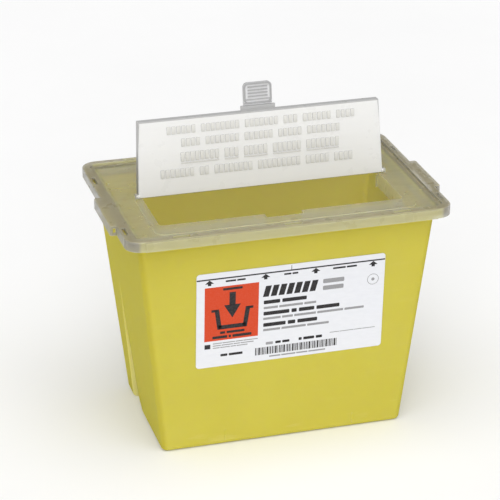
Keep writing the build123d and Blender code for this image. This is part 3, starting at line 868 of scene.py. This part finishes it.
BOLD_ROWS = (
    (-24.6, 14.2, 11.8, 3.6, (6, 9)),
    (-24.6, 44.4, 0.6, 3.6, (10, 2, 6, 9)),
    (-24.6, 24.4, -10.7, 3.6, (9, 3, 8)),
)
SHORT_BOLD_ROWS = (
    (-62.7, -42.8, -35.5, 2.4, (3, 6)),
    (-13.2, -0.3, -29.3, 2.4, (3, 4)),
    (8.0, 29.5, -28.9, 2.7, (2, 7, 4)),
)
GREY_ROWS = (
    (28.6, 47.8, 25.7, 4.2, (1,)),
    (28.6, 47.4, 19.0, 4.2, (1,)),
    (-24.6, 22.9, 6.2, 2.2, (6, 10, 5)),
    (-24.8, 67.0, -4.5, 2.2, (8, 5, 10, 12, 9)),
    (-24.6, 35.3, -15.8, 2.2, (7, 10, 9)),
    (-69.7, -29.3, -23.2, 0.9, (5, 7, 4, 8)),
    (-69.7, -33.0, -25.4, 0.9, (5, 7, 4, 8)),
    (-69.7, -38.4, -27.6, 0.9, (5, 7, 4, 8)),
    (36.5, 78.2, -26.5, 0.7, (6, 9, 5, 8)),
    (-18.5, 32.9, -42.8, 1.4, (4, 5, 4, 6)),
    (-21.9, -15.4, -29.4, 2.6, (1,)),
)

# The ring with a dot in it
RING_MIDDLE = (74.2, 21.9)
RING_OUTER = 5.3
RING_INNER = 4.8
DOT_RADIUS = 1.5


class SHARPS_OT_label_lines(bpy.types.Operator):
    """Print the heading block and the rows of bars that stand for wording"""

    bl_idname = "sharps.label_lines"
    bl_label = "Print Lines"

    def execute(self, context):
        label_piece("label_bold_lines", "black_ink", self.bold)
        label_piece("label_grey_lines", "grey_ink", self.grey)
        label_piece("label_ring", "grey_ink", self.ring)
        return {"FINISHED"}

    def bold(self, bm, place, height):
        left, up = HEADING_START
        for bar in range(HEADING_BARS):
            middle = (left + bar * HEADING_PITCH, up)
            add_block(bm, place, middle, HEADING_SIZE, height, lean=HEADING_LEAN)
        add_rows(bm, place, BOLD_ROWS, height)
        add_block(bm, place, SQUARE_MIDDLE, SQUARE_SIZE, height)
        add_rows(bm, place, SHORT_BOLD_ROWS, height)

    def grey(self, bm, place, height):
        add_rows(bm, place, GREY_ROWS, height)

    def ring(self, bm, place, height):
        add_ring(bm, place, RING_MIDDLE, RING_OUTER, RING_INNER, height)
        add_disc(bm, place, RING_MIDDLE, DOT_RADIUS, height)


# The strip of upright bars: bar and gap widths repeat in the same short order
STRIP_LEFT = -31.4
STRIP_RIGHT = 43.6
STRIP_UP = -36.6
STRIP_TALL = 7.4
STRIP_BARS = (0.9, 0.5, 1.5, 0.5, 0.9)
STRIP_GAPS = (0.6, 0.9, 0.6, 0.6)


class SHARPS_OT_label_strip(bpy.types.Operator):
    """Print the plain strip of upright bars"""

    bl_idname = "sharps.label_strip"
    bl_label = "Print Bar Strip"

    def execute(self, context):
        label_piece("label_bar_strip", "black_ink", self.strip)
        return {"FINISHED"}

    def strip(self, bm, place, height):
        at = STRIP_LEFT
        count = 0
        while at < STRIP_RIGHT:
            width = STRIP_BARS[count % len(STRIP_BARS)]
            add_block(bm, place, (at + width / 2, STRIP_UP), (width, STRIP_TALL), height)
            at += width + STRIP_GAPS[count % len(STRIP_GAPS)]
            count += 1


# Where each lamp's light comes from: its bearing round the object, its height above level,
# and how widely it spreads, in degrees
OVERHEAD_LAMP = (-10.0, 70.0, 70.0)
FRONT_LAMP = (-16.0, 24.0, 36.0)


def add_soft_light(name, lamp, strength):
    """A broad, even light from a direction."""
    bearing, height, spread_angle = (math.radians(angle) for angle in lamp)
    data = bpy.data.lights.new(name, "SUN")
    data.angle = spread_angle
    data.energy = strength
    light = bpy.data.objects.new(name, data)
    bpy.context.scene.collection.objects.link(light)
    level = Vector((math.sin(bearing), -math.cos(bearing), 0.0)) * math.cos(height)
    toward = level + Vector((0.0, 0.0, math.sin(height)))
    light.rotation_euler = (-toward).to_track_quat("-Z", "Y").to_euler()


class SHARPS_OT_stage(bpy.types.Operator):
    """Set up the pale floor, the soft lights and the camera"""

    bl_idname = "sharps.stage"
    bl_label = "Set Stage"

    def execute(self, context):
        stage = context.scene.sharps_stage
        self.floor(stage)
        self.lights(stage)
        self.camera(stage)
        context.scene.view_settings.view_transform = "Standard"
        return {"FINISHED"}

    def floor(self, stage):
        bm = bmesh.new()
        bmesh.ops.create_grid(bm, x_segments=1, y_segments=1, size=stage.floor_size / 2)
        mesh = bpy.data.meshes.new("studio_floor")
        bm.to_mesh(mesh)
        bm.free()
        mesh.materials.append(floor_paper(stage))
        floor = bpy.data.objects.new("studio_floor", mesh)
        bpy.context.scene.collection.objects.link(floor)

    def lights(self, stage):
        world = bpy.data.worlds.new("studio_surroundings")
        world.use_nodes = True
        background = world.node_tree.nodes["Background"]
        background.inputs["Color"].default_value = (1.0, 1.0, 1.0, 1.0)
        background.inputs["Strength"].default_value = stage.sky
        bpy.context.scene.world = world
        add_soft_light("overhead_light", OVERHEAD_LAMP, stage.top_strength)
        add_soft_light("front_light", FRONT_LAMP, stage.front_strength)

    def camera(self, stage):
        az, el, roll = stage.azimuth, stage.elevation, stage.roll
        back = Vector((math.sin(az) * math.cos(el), -math.cos(az) * math.cos(el), math.sin(el)))
        level = Vector((math.cos(az), math.sin(az), 0.0))
        upward = back.cross(level)
        right = math.cos(roll) * level + math.sin(roll) * upward
        up = math.cos(roll) * upward - math.sin(roll) * level
        turn = Matrix((right, up, back)).transposed().to_4x4()
        aim = Vector((0.0, 0.0, stage.aim_height)) + level * stage.aim_right
        data = bpy.data.cameras.new("studio_camera")
        data.lens = stage.lens
        data.sensor_width = 36.0
        camera = bpy.data.objects.new("studio_camera", data)
        camera.matrix_world = Matrix.Translation(aim + back * stage.distance) @ turn
        bpy.context.scene.collection.objects.link(camera)
        bpy.context.scene.camera = camera


# ---- panel and registration ---------------------------------------------------------------

STEPS = (
    SHARPS_OT_stage,
    SHARPS_OT_finish_tub,
    SHARPS_OT_finish_lid,
    SHARPS_OT_raised_bars,
    SHARPS_OT_label_film,
    SHARPS_OT_label_signal,
    SHARPS_OT_label_fill_line,
    SHARPS_OT_label_lines,
    SHARPS_OT_label_strip,
)

SETTINGS = {
    "sharps_tub": SharpsTubSettings,
    "sharps_lid": SharpsLidSettings,
    "sharps_marks": SharpsMarkSettings,
    "sharps_label": SharpsLabelSettings,
    "sharps_stage": SharpsStageSettings,
}


class SHARPS_PT_panel(bpy.types.Panel):
    """Lists the steps and settings of the sharps container's looks"""

    bl_label = "Sharps Container"
    bl_idname = "SHARPS_PT_panel"
    bl_space_type = "VIEW_3D"
    bl_region_type = "UI"
    bl_category = "Sharps"

    def draw(self, context):
        for step in STEPS:
            self.layout.operator(step.bl_idname)
        for name, group in SETTINGS.items():
            box = self.layout.box()
            for key in group.__annotations__:
                box.prop(getattr(context.scene, name), key)


CLASSES = (*SETTINGS.values(), *STEPS, SHARPS_PT_panel)


def register():
    """Adds the settings, the steps and the panel."""
    for cls in CLASSES:
        bpy.utils.register_class(cls)
    for name, group in SETTINGS.items():
        setattr(bpy.types.Scene, name, PointerProperty(type=group))


def unregister():
    """Takes them away again."""
    for name in SETTINGS:
        delattr(bpy.types.Scene, name)
    for cls in reversed(CLASSES):
        bpy.utils.unregister_class(cls)


def main():
    """Takes every step in order."""
    register()
    for step in STEPS:
        group, name = step.bl_idname.split(".")
        getattr(getattr(bpy.ops, group), name)()


if __name__ == "__main__":
    main()
